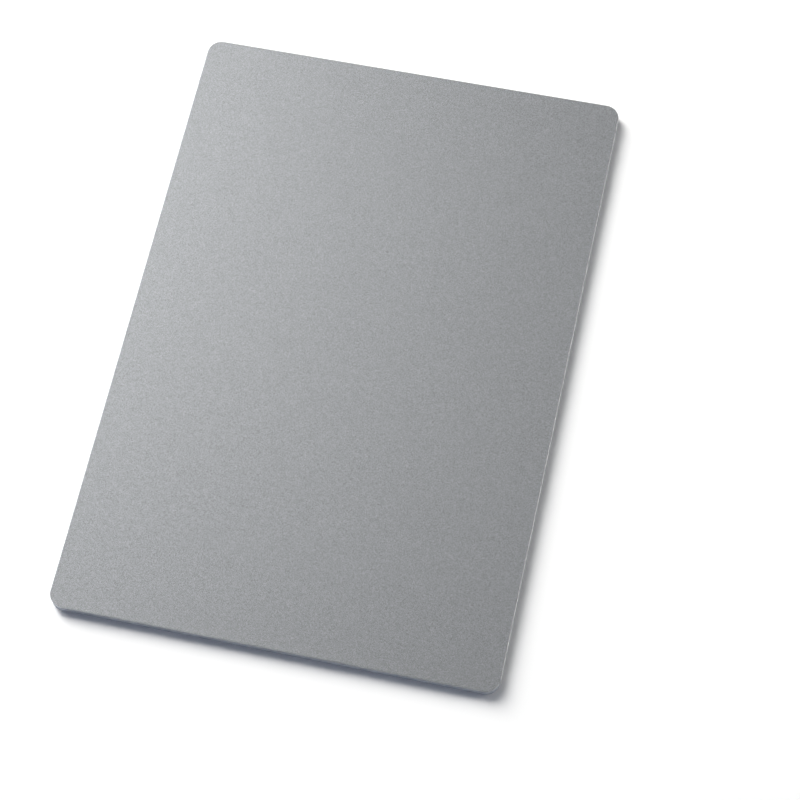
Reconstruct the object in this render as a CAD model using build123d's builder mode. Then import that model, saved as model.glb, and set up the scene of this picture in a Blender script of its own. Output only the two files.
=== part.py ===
from build123d import *
import os

# Aluminium composite panel: a flat board with rounded corners, made of two thin coated
# aluminium skins bonded to a polyethylene core.
# The origin is the middle of the back face. +X runs across the width, +Y along the length
# and +Z through the thickness, out of the coated front face.

# Outline, cut through all three layers at once
panel_width = 120.0
panel_length = 175.0
corner_radius = 4.0

# Layers, from the back to the front
back_skin_thickness = 0.3
core_thickness = 2.4
front_skin_thickness = 0.3

# The cut edge: the front skin's arris is slightly rounded, the back skin's is bevelled
front_arris_radius = 0.1
back_arris_break = 0.1

core_base = back_skin_thickness
front_skin_base = core_base + core_thickness

# One outline serves every layer, so their cut edges stay flush all the way round
with BuildSketch() as outline:
    Rectangle(panel_width, panel_length)
    fillet(outline.vertices(), radius=corner_radius)

# Back skin: the aluminium sheet that the panel lies on
with BuildPart() as back_skin:
    with BuildSketch(Plane.XY):
        add(outline.sketch)
    extrude(amount=back_skin_thickness)
    back_arris = back_skin.faces().sort_by(Axis.Z)[0].edges()
    chamfer(back_arris, length=back_arris_break)

# Core: the polyethylene between the skins
with BuildPart() as core:
    with BuildSketch(Plane.XY.offset(core_base)):
        add(outline.sketch)
    extrude(amount=core_thickness)

# Front skin: the aluminium sheet with the metallic coating, seated on the core
with BuildPart() as front_skin:
    with BuildSketch(Plane.XY.offset(front_skin_base)):
        add(outline.sketch)
    extrude(amount=front_skin_thickness)
    front_arris = front_skin.faces().sort_by(Axis.Z)[-1].edges()
    fillet(front_arris, radius=front_arris_radius)

back_skin.part.label = "back_skin"
core.part.label = "core"
front_skin.part.label = "front_skin"

os.makedirs("parts", exist_ok=True)
export_step(back_skin.part, "parts/back_skin.step")
export_step(core.part, "parts/core.step")
export_step(front_skin.part, "parts/front_skin.step")
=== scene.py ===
"""Looks and stage for a small aluminium composite panel.

Two thin aluminium skins are bonded to a polyethylene core. The front skin has a satin
metallic grey coat, the back skin a pale service coat, and the cut edge shows all three layers.
"""

import math

import bpy
from bpy.props import FloatProperty, FloatVectorProperty, IntProperty, PointerProperty
from bpy.types import Operator, Panel, PropertyGroup
from mathutils import Matrix, Vector


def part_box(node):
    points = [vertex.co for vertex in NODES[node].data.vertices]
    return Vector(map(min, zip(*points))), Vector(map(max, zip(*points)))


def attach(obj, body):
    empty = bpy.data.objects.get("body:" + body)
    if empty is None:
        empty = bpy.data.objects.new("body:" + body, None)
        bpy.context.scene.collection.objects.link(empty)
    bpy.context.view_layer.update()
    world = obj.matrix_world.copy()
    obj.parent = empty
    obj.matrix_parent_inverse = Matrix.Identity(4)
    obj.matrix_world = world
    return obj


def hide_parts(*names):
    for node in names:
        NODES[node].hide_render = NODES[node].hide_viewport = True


bl_info = {
    "name": "Aluminium composite panel",
    "version": (1, 0, 0),
    "blender": (4, 5, 0),
    "location": "View3D > Sidebar > Composite panel",
    "description": "Dresses the packed composite panel and sets its studio stage",
    "category": "Object",
}

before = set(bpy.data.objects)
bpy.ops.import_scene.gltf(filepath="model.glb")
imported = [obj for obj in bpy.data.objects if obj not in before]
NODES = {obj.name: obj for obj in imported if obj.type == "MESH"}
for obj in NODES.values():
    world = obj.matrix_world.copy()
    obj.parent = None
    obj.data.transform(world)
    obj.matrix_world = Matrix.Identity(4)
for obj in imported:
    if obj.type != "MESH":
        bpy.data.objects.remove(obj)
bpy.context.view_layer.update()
CORE_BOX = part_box("core")
FRONT_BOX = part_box("front_skin")
BACK_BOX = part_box("back_skin")

MM = 0.001


# Node helpers


def pin(sockets, key):
    """A node's socket, by its place, its identifier or its name."""
    if isinstance(key, int):
        return sockets[key]
    for socket in sockets:
        if socket.identifier == key:
            return socket
    return sockets[key]


class Value:
    """A number that changes over a surface or a curve. Operators on it add Math nodes."""

    def __init__(self, graph, socket):
        self.graph = graph
        self.socket = socket

    def math(self, operation, *terms):
        node = self.graph.node("ShaderNodeMath", {"operation": operation}, dict(enumerate(terms)))
        return Value(self.graph, node.outputs[0])

    def __add__(self, other):
        return self.math("ADD", self, other)

    def __radd__(self, other):
        return self.math("ADD", other, self)

    def __sub__(self, other):
        return self.math("SUBTRACT", self, other)

    def __rsub__(self, other):
        return self.math("SUBTRACT", other, self)

    def __mul__(self, other):
        return self.math("MULTIPLY", self, other)

    def __rmul__(self, other):
        return self.math("MULTIPLY", other, self)

    def __truediv__(self, other):
        return self.math("DIVIDE", self, other)

    def __rtruediv__(self, other):
        return self.math("DIVIDE", other, self)

    def between(self, low, high):
        """low where this is 0, high where it is 1 and in proportion elsewhere."""
        return self * (high - low) + low

    def ramp(self, low, high):
        """0 up to low, 1 from high on and a straight rise between them."""
        limits = {"Value": self, "From Min": low, "From Max": high}
        node = self.graph.node("ShaderNodeMapRange", {"clamp": True}, limits)
        return Value(self.graph, node.outputs["Result"])


class Graph:
    """Nodes added to a tree."""

    def __init__(self, tree):
        self.tree = tree

    def node(self, kind, settings=None, sockets=None):
        """Adds a node: first its own settings, then the values or links of its sockets."""
        node = self.tree.nodes.new(kind)
        for name, value in (settings or {}).items():
            setattr(node, name, value)
        for key, value in (sockets or {}).items():
            socket = pin(node.inputs, key)
            if isinstance(value, Value):
                value = value.socket
            if isinstance(value, bpy.types.NodeSocket):
                self.tree.links.new(value, socket)
            else:
                socket.default_value = value
        return node

    def value(self, kind, settings, sockets, output):
        """Adds a node and gives one of its outputs as a value."""
        return Value(self, pin(self.node(kind, settings, sockets).outputs, output))

    def vector(self, operation, first, second=(0.0, 0.0, 0.0), scale=1.0):
        """Vector Math."""
        sockets = {0: first, 1: second, "Scale": scale}
        return self.node("ShaderNodeVectorMath", {"operation": operation}, sockets).outputs[0]


class Surface(Graph):
    """One material, on Object coordinates."""

    def __init__(self, name):
        self.material = bpy.data.materials.new(name)
        self.material.use_nodes = True
        super().__init__(self.material.node_tree)
        self.tree.nodes.clear()
        self.place = self.node("ShaderNodeTexCoord").outputs["Object"]

    def height(self):
        """Height above the surface that the panel lies on."""
        return self.value("ShaderNodeSeparateXYZ", None, {"Vector": self.place}, "Z")

    def stretched(self, axis, times):
        """Object coordinates that draw a pattern out along X, Y or Z, this many times."""
        scale = [1.0 / times if name == axis else 1.0 for name in "XYZ"]
        sockets = {"Vector": self.place, "Scale": scale}
        return self.node("ShaderNodeMapping", None, sockets).outputs["Vector"]

    def noise(self, size, detail=2.0, rough=0.5, place=None):
        """Soft noise from 0 to 1 with features of about this size."""
        sockets = {
            "Vector": place or self.place,
            "Scale": 1 / size,
            "Detail": detail,
            "Roughness": rough,
        }
        return self.value("ShaderNodeTexNoise", None, sockets, "Fac")

    def cells(self, size):
        """The random colour of each cell of about this size."""
        sockets = {"Vector": self.place, "Scale": 1 / size}
        return self.node("ShaderNodeTexVoronoi", {"feature": "F1"}, sockets).outputs["Color"]

    def red(self, colour):
        """The first number of a colour."""
        return self.value("ShaderNodeSeparateColor", None, {"Color": colour}, "Red")

    def mix(self, factor, first, second):
        """A colour between two others."""
        sockets = {"Factor_Float": factor, "A_Color": first, "B_Color": second}
        node = self.node("ShaderNodeMix", {"data_type": "RGBA"}, sockets)
        return pin(node.outputs, "Result_Color")

    def tones(self, factor, colour, dark, light):
        """A colour that goes from a darker tone of itself to a lighter one."""
        return self.mix(factor, shade(colour, dark), shade(colour, light))

    def bump(self, height, facing=None):
        """A normal bent by a height in metres."""
        sockets = {"Strength": 1.0, "Distance": 1.0, "Height": height}
        if facing is not None:
            sockets["Normal"] = facing
        return self.node("ShaderNodeBump", None, sockets).outputs["Normal"]

    def finish(self, sockets):
        """Adds the surface shader and gives back the material."""
        shader = self.node("ShaderNodeBsdfPrincipled", None, sockets)
        self.node("ShaderNodeOutputMaterial", None, {"Surface": shader.outputs["BSDF"]})
        return self.material


def shade(colour, level):
    """A colour at another brightness, with its alpha."""
    return (*(part * level for part in colour), 1.0)


# Materials


def cut_metal(surface, finish):
    """Bare aluminium as the cutter left it: its colour, roughness and height."""
    streak_width = 0.14 * MM
    streak_stretch = 12.0
    streak_height = 0.002 * MM
    streaks = surface.noise(streak_width, 2.0, 0.6, surface.stretched("Z", streak_stretch))
    colour = surface.tones(streaks, finish.metal_colour, 0.84, 1.08)
    return colour, streaks.between(0.15, 0.25), streaks * streak_height


def bare_share(surface, finish, outer_z, outward):
    """1 where the cut has laid the skin's metal bare, 0 under the coat of its outer face."""
    wave_width = 0.6 * MM
    depth = (outer_z - surface.height()) * outward
    uneven = (surface.noise(wave_width, 3.0) - 0.5) * finish.coat_lap
    return (depth + uneven).ramp(finish.coat_lap, finish.coat_lap * 1.5)


def front_coat_material(finish):
    """Satin metallic coat over the front skin, with bare metal at its cut edge."""
    mottle_width = 9.0 * MM
    peel_width = 1.6 * MM
    roughness_drift = 0.03
    gloss_roughness = 0.3

    surface = Surface("front_coat")
    bare = bare_share(surface, finish, FRONT_BOX[1].z, 1.0)
    metal_colour, metal_rough, metal_height = cut_metal(surface, finish)

    # Each flake has a brightness and a lean of its own
    flakes = surface.cells(finish.flake_size)
    mottle = surface.noise(mottle_width, 3.0)
    light = surface.red(flakes) + (mottle - 0.5) * finish.mottle
    contrast = finish.flake_contrast
    coat_colour = surface.tones(light, finish.coat_colour, 1.0 - contrast, 1.0 + contrast)
    lean = surface.vector("SUBTRACT", flakes, (0.5, 0.5, 0.5))
    lean = surface.vector("SCALE", lean, scale=finish.flake_lean)
    facing = surface.node("ShaderNodeNewGeometry").outputs["Normal"]
    facing = surface.vector("NORMALIZE", surface.vector("ADD", facing, lean))

    peel = surface.noise(peel_width, 2.0) * finish.peel_height
    coat_rough = (mottle - 0.5) * roughness_drift + finish.coat_roughness
    return surface.finish(
        {
            "Base Color": surface.mix(bare, coat_colour, metal_colour),
            "Metallic": bare.between(finish.coat_metallic, 1.0),
            "Roughness": coat_rough + bare * (metal_rough - coat_rough),
            "Normal": surface.bump(peel + bare * metal_height, facing),
            "Coat Weight": (1.0 - bare) * finish.coat_gloss,
            "Coat Roughness": gloss_roughness,
        }
    )


def back_coat_material(finish):
    """Plain pale service coat over the back skin, with bare metal at its cut edge."""
    streak_width = 0.8 * MM
    streak_stretch = 33.3
    pore_spacing = 0.5 * MM
    pore_share = 0.015
    peel_width = 1.1 * MM

    surface = Surface("service_coat")
    bare = bare_share(surface, finish, BACK_BOX[0].z, -1.0)
    metal_colour, metal_rough, metal_height = cut_metal(surface, finish)

    # A thin roller coat: faint streaks along the sheet and a few pores
    streaks = surface.noise(streak_width, 3.0, 0.6, surface.stretched("Y", streak_stretch))
    pores = surface.red(surface.cells(pore_spacing)).ramp(1.0 - pore_share, 1.0)
    coat_colour = surface.tones(streaks - pores, finish.back_colour, 0.93, 1.05)
    peel = surface.noise(peel_width, 2.0) * (finish.peel_height * 2.0)
    coat_rough = streaks.between(0.42, 0.5)
    return surface.finish(
        {
            "Base Color": surface.mix(bare, coat_colour, metal_colour),
            "Metallic": bare,
            "Roughness": coat_rough + bare * (metal_rough - coat_rough),
            "Normal": surface.bump(peel + bare * metal_height),
        }
    )


def core_material(finish):
    """Filled polyethylene as the cutter left it: dull, streaked and finely grained."""
    streak_width = 0.3 * MM
    streak_stretch = 8.0
    grain_width = 0.1 * MM
    speck_width = 0.15 * MM
    relief = 0.008 * MM

    surface = Surface("cut_core")
    streaks = surface.noise(streak_width, 3.0, 0.6, surface.stretched("Z", streak_stretch))
    grains = surface.noise(grain_width, 2.0, 0.7)
    specks = surface.red(surface.cells(speck_width))
    tone = streaks * 0.5 + grains * 0.25 + specks * 0.25
    return surface.finish(
        {
            "Base Color": surface.tones(tone, finish.core_colour, 0.75, 1.25),
            "Roughness": grains.between(0.48, 0.68),
            "Normal": surface.bump((streaks + grains) * relief),
        }
    )


# Geometry trees


def routed_core_tree():
    """A slab with rounded corners whose side wall carries the cutter's upright scallops."""
    corner_points = 48
    steps_to_a_mark = 6.0
    shallowest_mark = 0.35
    weld_distance = 0.001 * MM

    tree = bpy.data.node_groups.new("routed_core", "GeometryNodeTree")
    sizes = ("Width", "Length", "Thickness", "Base", "Corner radius", "Mark pitch", "Mark depth")
    for name in sizes:
        tree.interface.new_socket(name=name, in_out="INPUT", socket_type="NodeSocketFloat")
    tree.interface.new_socket(name="Seed", in_out="INPUT", socket_type="NodeSocketInt")
    tree.interface.new_socket(name="Material", in_out="INPUT", socket_type="NodeSocketMaterial")
    tree.interface.new_socket(name="Geometry", in_out="OUTPUT", socket_type="NodeSocketGeometry")
    graph = Graph(tree)
    given = graph.node("NodeGroupInput").outputs
    pitch = Value(graph, given["Mark pitch"])

    # The outline, in even steps
    outline = graph.node(
        "GeometryNodeCurvePrimitiveQuadrilateral",
        {"mode": "RECTANGLE"},
        {"Width": given["Width"], "Height": given["Length"]},
    ).outputs[0]
    outline = graph.node(
        "GeometryNodeFilletCurve",
        {"mode": "POLY"},
        {"Curve": outline, "Count": corner_points, "Radius": given["Corner radius"]},
    ).outputs[0]
    outline = graph.node(
        "GeometryNodeResampleCurve",
        {"mode": "LENGTH"},
        {"Curve": outline, "Length": pitch / steps_to_a_mark},
    ).outputs[0]

    # Each mark is a shallow scallop with its own depth, between two ridges on the outline
    along = graph.value("GeometryNodeSplineParameter", None, None, "Length") / pitch
    across = along.math("FRACT", along) * 2.0 - 1.0
    scallop = 1.0 - across * across
    chance = graph.value(
        "FunctionNodeRandomValue",
        {"data_type": "FLOAT"},
        {
            "Min_001": shallowest_mark,
            "Max_001": 1.0,
            "ID": along.math("FLOOR", along),
            "Seed": given["Seed"],
        },
        "Value_001",
    )
    depth = scallop * chance * Value(graph, given["Mark depth"])
    tangent = graph.node("GeometryNodeInputTangent").outputs[0]
    inward = graph.vector("CROSS_PRODUCT", (0.0, 0.0, 1.0), tangent)
    outline = graph.node(
        "GeometryNodeSetPosition",
        None,
        {"Geometry": outline, "Offset": graph.vector("SCALE", inward, scale=depth)},
    ).outputs[0]
    lift = graph.node("ShaderNodeCombineXYZ", None, {"Z": given["Base"]}).outputs[0]
    outline = graph.node(
        "GeometryNodeTransform", None, {"Geometry": outline, "Translation": lift}
    ).outputs[0]

    # The slab: the filled outline raised by the thickness, closed with the same outline below
    sheet = graph.node("GeometryNodeFillCurve", {"mode": "TRIANGLES"}, {"Curve": outline}).outputs[0]
    raised = graph.node(
        "GeometryNodeExtrudeMesh",
        {"mode": "FACES"},
        {
            "Mesh": sheet,
            "Offset": (0.0, 0.0, 1.0),
            "Offset Scale": given["Thickness"],
            "Individual": False,
        },
    ).outputs[0]
    under = graph.node("GeometryNodeFlipFaces", None, {"Mesh": sheet}).outputs[0]
    slab = graph.node("GeometryNodeJoinGeometry")
    tree.links.new(raised, slab.inputs[0])
    tree.links.new(under, slab.inputs[0])
    slab = graph.node(
        "GeometryNodeMergeByDistance",
        None,
        {"Geometry": slab.outputs[0], "Distance": weld_distance},
    ).outputs[0]
    slab = graph.node("GeometryNodeRealizeInstances", None, {"Geometry": slab}).outputs[0]
    slab = graph.node(
        "GeometryNodeSetMaterial", None, {"Geometry": slab, "Material": given["Material"]}
    ).outputs[0]
    graph.node("NodeGroupOutput", None, {"Geometry": slab})
    return tree


def grow(name, tree, values):
    """Runs a geometry tree with these inputs and gives its result as a plain mesh object."""
    seedling = bpy.data.objects.new(name + "_tree", bpy.data.meshes.new(name + "_seed"))
    bpy.context.scene.collection.objects.link(seedling)
    modifier = seedling.modifiers.new("tree", "NODES")
    modifier.node_group = tree
    for item in tree.interface.items_tree:
        if item.item_type == "SOCKET" and item.in_out == "INPUT" and item.name in values:
            modifier[item.identifier] = values[item.name]
    bpy.context.view_layer.update()
    depsgraph = bpy.context.evaluated_depsgraph_get()
    mesh = bpy.data.meshes.new_from_object(seedling.evaluated_get(depsgraph))
    seedling.modifiers.remove(modifier)
    bpy.data.objects.remove(seedling)
    mesh.name = name
    piece = bpy.data.objects.new(name, mesh)
    bpy.context.scene.collection.objects.link(piece)
    if not mesh.polygons:
        raise RuntimeError(name + ": the geometry tree made no faces")
    return piece


# Properties


class CompositePanelSizes(PropertyGroup):
    """Sizes of the fine shape that the cutter leaves on the core."""

    corner_radius: FloatProperty(
        name="Corner radius",
        description="Radius of the panel's rounded corners",
        default=4.0 * MM,
        precision=5,
        unit="LENGTH",
    )
    mark_pitch: FloatProperty(
        name="Cutter mark pitch",
        description="Distance from one upright cutter mark on the core to the next",
        default=0.45 * MM,
        precision=6,
        unit="LENGTH",
    )
    mark_depth: FloatProperty(
        name="Cutter mark depth",
        description="Depth of the deepest cutter marks on the core",
        default=0.025 * MM,
        precision=6,
        unit="LENGTH",
    )
    mark_seed: IntProperty(
        name="Cutter mark seed",
        description="Seed of the small differences between cutter marks",
        default=7,
    )


class CompositePanelFinish(PropertyGroup):
    """Colours and surface detail."""

    coat_colour: FloatVectorProperty(
        name="Front coat",
        description="Colour of the metallic front coat",
        default=(0.2365, 0.2445, 0.2562),
        subtype="COLOR",
    )
    coat_metallic: FloatProperty(
        name="Coat metallic",
        description="How far the front coat reflects as metal",
        default=0.82,
        subtype="FACTOR",
    )
    coat_roughness: FloatProperty(
        name="Coat roughness",
        description="Roughness of the metallic front coat",
        default=0.555,
        subtype="FACTOR",
    )
    coat_gloss: FloatProperty(
        name="Coat gloss",
        description="Weight of the clear layer over the metallic coat",
        default=0.1,
        subtype="FACTOR",
    )
    coat_lap: FloatProperty(
        name="Coat lap",
        description="How far down from the face the coat goes at the arris",
        default=0.008 * MM,
        precision=6,
        unit="LENGTH",
    )
    flake_size: FloatProperty(
        name="Flake size",
        description="Width of one flake in the metallic coat",
        default=0.1 * MM,
        precision=6,
        unit="LENGTH",
    )
    flake_contrast: FloatProperty(
        name="Flake contrast",
        description="How far single flakes are lighter or darker than the coat",
        default=0.47,
        subtype="FACTOR",
    )
    flake_lean: FloatProperty(
        name="Flake lean",
        description="How far single flakes lean away from the face",
        default=0.06,
        subtype="FACTOR",
    )
    mottle: FloatProperty(
        name="Mottle",
        description="Broad soft unevenness of the metallic coat",
        default=0.06,
        subtype="FACTOR",
    )
    peel_height: FloatProperty(
        name="Orange peel height",
        description="Height of the soft waves in the coats",
        default=0.0008 * MM,
        precision=7,
        unit="LENGTH",
    )
    back_colour: FloatVectorProperty(
        name="Back coat",
        description="Colour of the service coat on the back",
        default=(0.56, 0.57, 0.565),
        subtype="COLOR",
    )
    metal_colour: FloatVectorProperty(
        name="Cut aluminium",
        description="Colour of the bare aluminium at the cut edges",
        default=(0.76, 0.77, 0.78),
        subtype="COLOR",
    )
    core_colour: FloatVectorProperty(
        name="Core",
        description="Colour of the polyethylene core",
        default=(0.475, 0.502, 0.558),
        subtype="COLOR",
    )


class CompositePanelStage(PropertyGroup):
    """Camera, floor and light."""

    azimuth: FloatProperty(
        name="Camera azimuth",
        description="Turn of the camera round the panel from its near short edge",
        default=math.radians(18.242),
        subtype="ANGLE",
    )
    elevation: FloatProperty(
        name="Camera elevation",
        description="Height of the camera above the horizon",
        default=math.radians(66.429),
        subtype="ANGLE",
    )
    roll: FloatProperty(
        name="Camera roll",
        description="Clockwise turn of the camera about its line of sight",
        default=math.radians(6.358),
        subtype="ANGLE",
    )
    distance: FloatProperty(
        name="Camera distance",
        description="Distance from the camera to the point that it looks at",
        default=0.63037,
        unit="LENGTH",
    )
    aim: FloatVectorProperty(
        name="Camera aim",
        description="Point on the front face that the camera looks at",
        default=(0.01805, -0.01266, 0.003),
        precision=5,
        subtype="XYZ_LENGTH",
        unit="LENGTH",
    )
    lens: FloatProperty(
        name="Lens",
        description="Focal length of the camera",
        default=105.57,
        unit="CAMERA",
    )
    floor_colour: FloatVectorProperty(
        name="Floor",
        description="Colour of the floor",
        default=(0.97, 0.97, 0.97),
        subtype="COLOR",
    )
    floor_lift: FloatProperty(
        name="Floor lift",
        description="How many times as pale the floor looks as it is for the light that it throws back",
        default=1.12,
    )
    backdrop_start: FloatProperty(
        name="Backdrop start",
        description="Distance from the panel's middle at which the floor starts to go over into white",
        default=0.2,
        unit="LENGTH",
    )
    backdrop_full: FloatProperty(
        name="Backdrop full",
        description="Distance from the panel's middle past which the floor is an even white",
        default=0.6,
        unit="LENGTH",
    )
    ambient_colour: FloatVectorProperty(
        name="Ambient colour",
        description="Colour of the light from all round",
        default=(0.75, 0.84, 1.0),
        subtype="COLOR",
    )
    horizon: FloatProperty(
        name="Horizon level",
        description="Strength of the light from the pale walls all round",
        default=0.045,
        subtype="FACTOR",
    )
    overhead: FloatProperty(
        name="Overhead level",
        description="Strength of the light from the darker ceiling",
        default=0.04,
        subtype="FACTOR",
    )


# Operators


def dress(node_name, material):
    """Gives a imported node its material."""
    mesh = NODES[node_name].data
    mesh.materials.clear()
    mesh.materials.append(material)


class DressFrontSkin(Operator):
    """Gives the front skin its satin metallic coat and its bare cut edge"""

    bl_idname = "composite_panel.front_skin"
    bl_label = "Front skin"

    def execute(self, context):
        dress("front_skin", front_coat_material(context.scene.composite_panel_finish))
        return {"FINISHED"}


class DressBackSkin(Operator):
    """Gives the back skin its service coat and its bare cut edge"""

    bl_idname = "composite_panel.back_skin"
    bl_label = "Back skin"

    def execute(self, context):
        dress("back_skin", back_coat_material(context.scene.composite_panel_finish))
        return {"FINISHED"}


class MakeCore(Operator):
    """Makes the polyethylene core with the cutter's marks round its edge"""

    bl_idname = "composite_panel.core"
    bl_label = "Core"

    def execute(self, context):
        sizes = context.scene.composite_panel_sizes
        low, high = CORE_BOX
        values = {
            "Width": high.x - low.x,
            "Length": high.y - low.y,
            "Thickness": high.z - low.z,
            "Base": low.z,
            "Corner radius": sizes.corner_radius,
            "Mark pitch": sizes.mark_pitch,
            "Mark depth": sizes.mark_depth,
            "Seed": sizes.mark_seed,
            "Material": core_material(context.scene.composite_panel_finish),
        }
        core = grow("routed_core", routed_core_tree(), values)
        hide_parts("core")
        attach(core, "root")
        return {"FINISHED"}


def point_round(azimuth, elevation, distance):
    """A point that far from the origin, seen from azimuth 0 at the near short edge."""
    flat = math.cos(elevation)
    direction = Vector((math.sin(azimuth) * flat, -math.cos(azimuth) * flat, math.sin(elevation)))
    return direction * distance


class SetStage(Operator):
    """Sets the camera, the floor, the soft lamps and the light from all round"""

    bl_idname = "composite_panel.stage"
    bl_label = "Stage"

    # Name, azimuth and elevation in degrees, distance, width and height in metres, watts, colour
    LAMPS = (
        ("left_back_softbox", 240.0, 22.0, 1.8, 1.0, 2.16, 36.5, (1.0, 0.99, 0.965)),
        ("high_back_softbox", 223.0, 41.0, 1.8, 0.66, 1.74, 31.0, (1.0, 0.99, 0.965)),
        ("right_softbox", 114.0, 26.0, 1.8, 0.72, 0.5, 6.5, (1.0, 0.985, 0.94)),
        ("front_right_softbox", 70.0, 25.0, 1.8, 0.7, 0.5, 2.7, (1.0, 0.985, 0.94)),
        ("near_left_window", 315.0, 35.0, 1.8, 2.1, 2.1, 2.0, (0.64, 0.86, 1.55)),
    )

    def execute(self, context):
        stage = context.scene.composite_panel_stage
        self.set_camera(context.scene, stage)
        self.lay_floor(context.scene, stage)
        self.hang_lamps(context.scene)
        self.fill_world(context.scene, stage)
        context.scene.view_settings.view_transform = "Standard"
        return {"FINISHED"}

    def set_camera(self, scene, stage):
        """Adds the camera, turned to the aim from its azimuth and elevation."""
        data = bpy.data.cameras.new("camera")
        data.lens = stage.lens
        data.clip_start = 0.01
        camera = bpy.data.objects.new("camera", data)
        scene.collection.objects.link(camera)
        scene.camera = camera
        back = point_round(stage.azimuth, stage.elevation, 1.0)
        turn = (-back).to_track_quat("-Z", "Y").to_matrix().to_4x4()
        place = Matrix.Translation(Vector(stage.aim) + back * stage.distance)
        camera.matrix_world = place @ turn @ Matrix.Rotation(-stage.roll, 4, "Z")

    def lay_floor(self, scene, stage):
        """Adds the floor, a hair under the panel so that the two don't share a plane."""
        half = 6.0
        level = BACK_BOX[0].z - 0.02 * MM
        signs = ((-1, -1), (1, -1), (1, 1), (-1, 1))
        corners = [(half * x, half * y, level) for x, y in signs]
        mesh = bpy.data.meshes.new("floor")
        mesh.from_pydata(corners, [], [(0, 1, 2, 3)])
        mesh.materials.append(self.floor_material(stage))
        floor = bpy.data.objects.new("floor", mesh)
        scene.collection.objects.link(floor)

    def seen_directly(self, graph):
        """1 for what the camera sees straight, in metal or through glass, 0 for other light."""
        path = graph.node("ShaderNodeLightPath").outputs
        direct = Value(graph, path["Is Camera Ray"])
        mirrored = Value(graph, path["Is Glossy Ray"])
        through = Value(graph, path["Is Transmission Ray"])
        return (direct + mirrored + through).ramp(0.0, 1.0)

    def floor_material(self, stage):
        """Plain floor that keeps its shadows and looks white for the camera and in metal."""
        graph = Surface("floor")
        lit, lifted = (
            graph.node("ShaderNodeBsdfDiffuse", None, {"Color": colour}).outputs[0]
            for colour in (shade(stage.floor_colour, 1.0), shade(stage.floor_colour, stage.floor_lift))
        )

        # Away from the panel the floor goes over into an even white backdrop
        reach = graph.value("ShaderNodeVectorMath", {"operation": "LENGTH"}, {0: graph.place}, "Value")
        white = graph.node("ShaderNodeEmission", None, {"Strength": 1.0}).outputs[0]
        shown = graph.node(
            "ShaderNodeMixShader",
            None,
            {"Fac": reach.ramp(stage.backdrop_start, stage.backdrop_full), 1: lifted, 2: white},
        ).outputs[0]
        both = graph.node(
            "ShaderNodeMixShader", None, {"Fac": self.seen_directly(graph), 1: lit, 2: shown}
        ).outputs[0]
        graph.node("ShaderNodeOutputMaterial", None, {"Surface": both})
        return graph.material

    def hang_lamps(self, scene):
        """Adds the soft lamps, all turned to the panel's middle and hidden from the camera."""
        for name, azimuth, elevation, distance, width, height, watts, colour in self.LAMPS:
            data = bpy.data.lights.new(name, "AREA")
            data.shape = "RECTANGLE"
            data.size = width
            data.size_y = height
            data.energy = watts
            data.color = colour
            lamp = bpy.data.objects.new(name, data)
            scene.collection.objects.link(lamp)
            place = point_round(math.radians(azimuth), math.radians(elevation), distance)
            turn = (-place).to_track_quat("-Z", "Y").to_matrix().to_4x4()
            lamp.matrix_world = Matrix.Translation(place) @ turn
            lamp.visible_camera = False

    def fill_world(self, scene, stage):
        """Adds dim light from all round: pale walls under a darker ceiling."""
        wall_top = 0.2
        ceiling_edge = 0.77

        world = bpy.data.worlds.new("studio")
        world.use_nodes = True
        world.node_tree.nodes.clear()
        scene.world = world
        graph = Graph(world.node_tree)

        direction = graph.node("ShaderNodeTexCoord").outputs["Generated"]
        rise = graph.value("ShaderNodeSeparateXYZ", None, {"Vector": direction}, "Z")
        smooth = {"interpolation_type": "SMOOTHSTEP"}
        limits = {"Value": rise, "From Min": wall_top, "From Max": ceiling_edge}
        share = graph.value("ShaderNodeMapRange", smooth, limits, "Result")
        walls, ceiling = (
            graph.node(
                "ShaderNodeBackground",
                None,
                {"Color": shade(stage.ambient_colour, 1.0), "Strength": level},
            ).outputs[0]
            for level in (stage.horizon, stage.overhead)
        )
        room = graph.node("ShaderNodeMixShader", None, {"Fac": share, 1: walls, 2: ceiling}).outputs[0]
        graph.node("ShaderNodeOutputWorld", None, {"Surface": room})


class CompositePanelSidebar(Panel):
    """Lists the panel's pieces and its stage in the sidebar of the 3D view"""

    bl_idname = "VIEW3D_PT_composite_panel"
    bl_label = "Composite panel"
    bl_space_type = "VIEW_3D"
    bl_region_type = "UI"
    bl_category = "Composite panel"

    def draw(self, context):
        scene = context.scene
        layout = self.layout
        groups = (
            (scene.composite_panel_sizes, ("composite_panel.core",)),
            (
                scene.composite_panel_finish,
                ("composite_panel.front_skin", "composite_panel.back_skin"),
            ),
            (scene.composite_panel_stage, ("composite_panel.stage",)),
        )
        for group, operators in groups:
            box = layout.box()
            for name in group.__annotations__:
                box.prop(group, name)
            for operator in operators:
                box.operator(operator)


CLASSES = (
    CompositePanelSizes,
    CompositePanelFinish,
    CompositePanelStage,
    DressFrontSkin,
    DressBackSkin,
    MakeCore,
    SetStage,
    CompositePanelSidebar,
)


def register():
    """Registers the classes and hangs their settings on the scene."""
    for cls in CLASSES:
        bpy.utils.register_class(cls)
    bpy.types.Scene.composite_panel_sizes = PointerProperty(type=CompositePanelSizes)
    bpy.types.Scene.composite_panel_finish = PointerProperty(type=CompositePanelFinish)
    bpy.types.Scene.composite_panel_stage = PointerProperty(type=CompositePanelStage)


def unregister():
    """Takes away what register adds, in reverse order."""
    del bpy.types.Scene.composite_panel_stage
    del bpy.types.Scene.composite_panel_finish
    del bpy.types.Scene.composite_panel_sizes
    for cls in reversed(CLASSES):
        bpy.utils.unregister_class(cls)


def main():
    """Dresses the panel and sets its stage."""
    register()
    bpy.ops.composite_panel.front_skin()
    bpy.ops.composite_panel.core()
    bpy.ops.composite_panel.back_skin()
    bpy.ops.composite_panel.stage()


if __name__ == "__main__":
    main()
